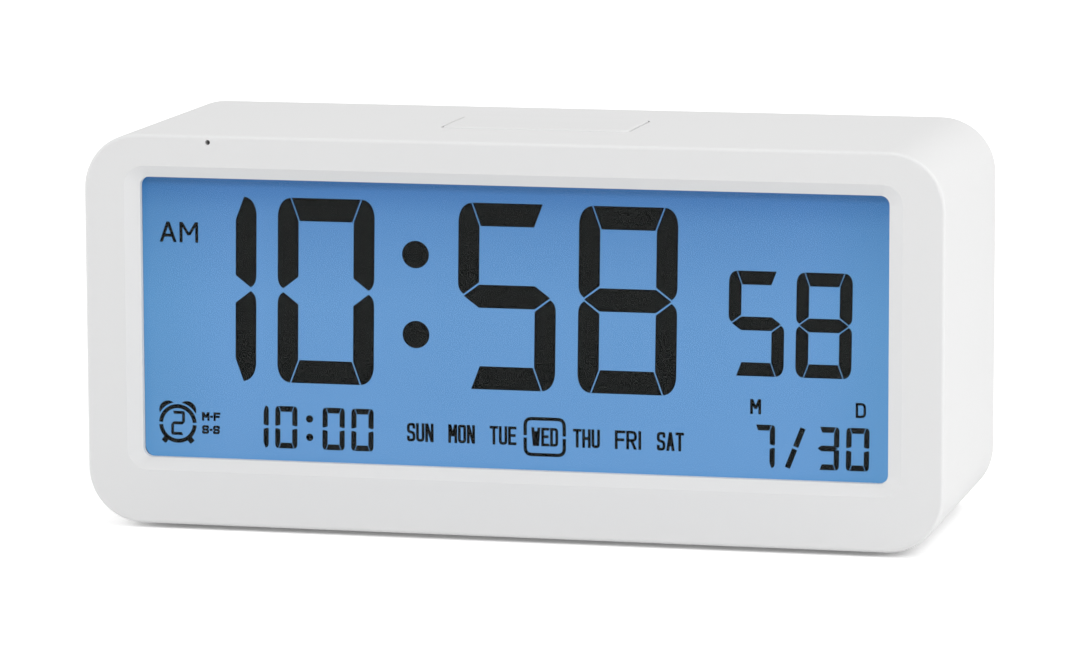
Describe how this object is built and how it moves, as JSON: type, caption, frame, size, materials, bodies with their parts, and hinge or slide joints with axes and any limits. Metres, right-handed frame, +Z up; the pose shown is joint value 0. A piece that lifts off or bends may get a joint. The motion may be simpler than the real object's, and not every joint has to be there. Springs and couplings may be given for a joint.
{
  "type": "digital alarm clock",
  "caption": "White box-shaped desk alarm clock with a wide blue backlit digital display, a snooze bar on top and keys, slide switch and battery door behind.",
  "frame": {"origin": "under the middle of the case, on the plane that the feet stand on", "axes": "+X to the right as seen from the front, +Y from the display to the back, +Z up"},
  "size_m": [0.14, 0.051, 0.0643],
  "materials": {
    "white_case": "fine satin moulding texture",
    "white_key": "satin moulding",
    "clear_lens": "clear polished sheet",
    "display_glass": "clear thin glass",
    "display_film": "thin plastic film",
    "light_guide": "clear moulded sheet with printed dots",
    "holder": "matt moulding",
    "foam_and_rubber": "soft black foam and layered rubber",
    "foot_rubber": "matt black rubber",
    "circuit_board": "green board with solder mask",
    "black_part": "black moulded parts",
    "steel": "plated steel",
    "contact_metal": "bright plated spring steel",
    "cell": "printed jacket over a metal can",
    "brass": "thin brass disc",
    "ceramic": "silvered ceramic layer",
    "wire": "insulated wire"
  },
  "bodies": {
    "case": {"front_case": "white_case", "rear_cover": "white_case", "display_lens": "clear_lens", "front_glass": "display_glass", "rear_glass": "display_glass", "front_polarizer": "display_film", "rear_polarizer": "display_film", "diffuser_film": "display_film", "reflector_film": "display_film", "lens_tape": "display_film", "light_guide": "light_guide", "display_holder": "holder", "display_gasket": "foam_and_rubber", "contact_strip": "foam_and_rubber", "rubber_feet": "foot_rubber", "main_board": "circuit_board", "snooze_board": "circuit_board", "key_board": "circuit_board", "controller_chip": "black_part", "small_board_parts": "black_part", "board_capacitors": "black_part", "light_sensor": "black_part", "backlight_lamps": "black_part", "snooze_switch": "black_part", "key_switches": "black_part", "light_switch_body": "black_part", "quartz_crystal": "steel", "board_screws": "steel", "case_screws": "steel", "snooze_board_screws": "steel", "key_board_screws": "steel", "battery_springs": "contact_metal", "battery_contact_plates": "contact_metal", "battery_cell_top": "cell", "battery_cell_middle": "cell", "battery_cell_low": "cell", "buzzer_disc": "brass", "buzzer_ceramic": "ceramic", "battery_wires": "wire", "buzzer_wires": "wire", "snooze_wires": "wire", "key_ribbon": "wire"},
    "snooze": {"snooze_key": "white_key", "snooze_plunger": "black_part"},
    "mode_key": {"mode_key": "white_key", "mode_key_plunger": "black_part"},
    "set_key": {"set_key": "white_key", "set_key_plunger": "black_part"},
    "up_key": {"up_key": "white_key", "up_key_plunger": "black_part"},
    "down_key": {"down_key": "white_key", "down_key_plunger": "black_part"},
    "alarm_key": {"alarm_key": "white_key", "alarm_key_plunger": "black_part"},
    "light_switch": {"light_switch_slider": "white_key"},
    "door": {"battery_door": "white_case"}
  },
  "joints": [
    {"name": "snooze_press", "type": "slide", "parent": "case", "child": "snooze", "axis": [0, 0, -1], "range_m": [0, 0.0008], "stiffness_N_per_m": 1500},
    {"name": "mode_key_press", "type": "slide", "parent": "case", "child": "mode_key", "axis": [0, -1, 0], "range_m": [0, 0.0005], "stiffness_N_per_m": 2000},
    {"name": "set_key_press", "type": "slide", "parent": "case", "child": "set_key", "axis": [0, -1, 0], "range_m": [0, 0.0005], "stiffness_N_per_m": 2000},
    {"name": "up_key_press", "type": "slide", "parent": "case", "child": "up_key", "axis": [0, -1, 0], "range_m": [0, 0.0005], "stiffness_N_per_m": 2000},
    {"name": "down_key_press", "type": "slide", "parent": "case", "child": "down_key", "axis": [0, -1, 0], "range_m": [0, 0.0005], "stiffness_N_per_m": 2000},
    {"name": "alarm_key_press", "type": "slide", "parent": "case", "child": "alarm_key", "axis": [0, -1, 0], "range_m": [0, 0.0005], "stiffness_N_per_m": 2000},
    {"name": "light_switch_slide", "type": "slide", "parent": "case", "child": "light_switch", "axis": [1, 0, 0], "range_m": [0, 0.003]},
    {"name": "door_swing", "type": "hinge", "parent": "case", "child": "door", "pos_m": [-0.008, 0.0245, 0.005], "axis": [-1, 0, 0], "range_deg": [0, 75]}
  ]
}
